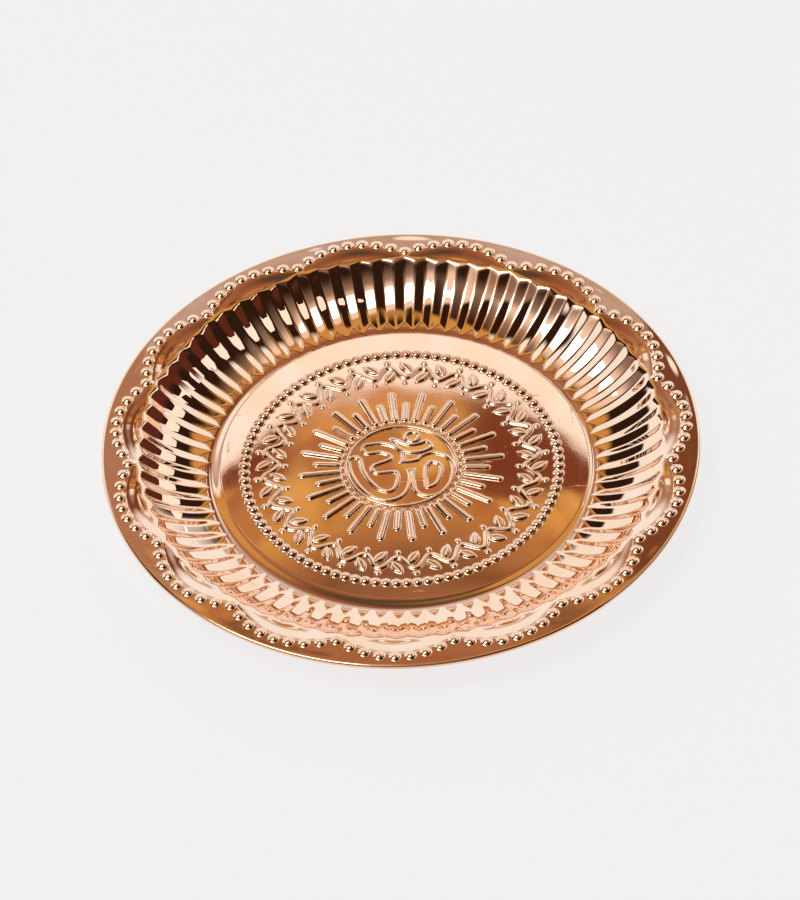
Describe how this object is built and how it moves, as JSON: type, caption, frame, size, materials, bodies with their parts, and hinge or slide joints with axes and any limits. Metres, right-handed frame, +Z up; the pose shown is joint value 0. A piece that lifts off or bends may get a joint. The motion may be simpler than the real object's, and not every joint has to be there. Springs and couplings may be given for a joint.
{
  "type": "puja thali",
  "caption": "Shallow round copper offering plate with a fluted wall, a beaded scalloped rim, a wired edge and an embossed sun panel.",
  "frame": {"origin": "middle of the foot ring's underside, on the surface that the plate stands on", "axes": "+Z up out of the dish, +Y towards the top of the sign, +X to its right"},
  "size_m": [0.25, 0.25, 0.0181],
  "materials": {
    "pressed_copper": "polished copper sheet",
    "hoop_wire": "drawn copper wire"
  },
  "bodies": {
    "root": {"thali_sheet": "pressed_copper", "edge_wire": "hoop_wire"}
  },
  "joints": []
}
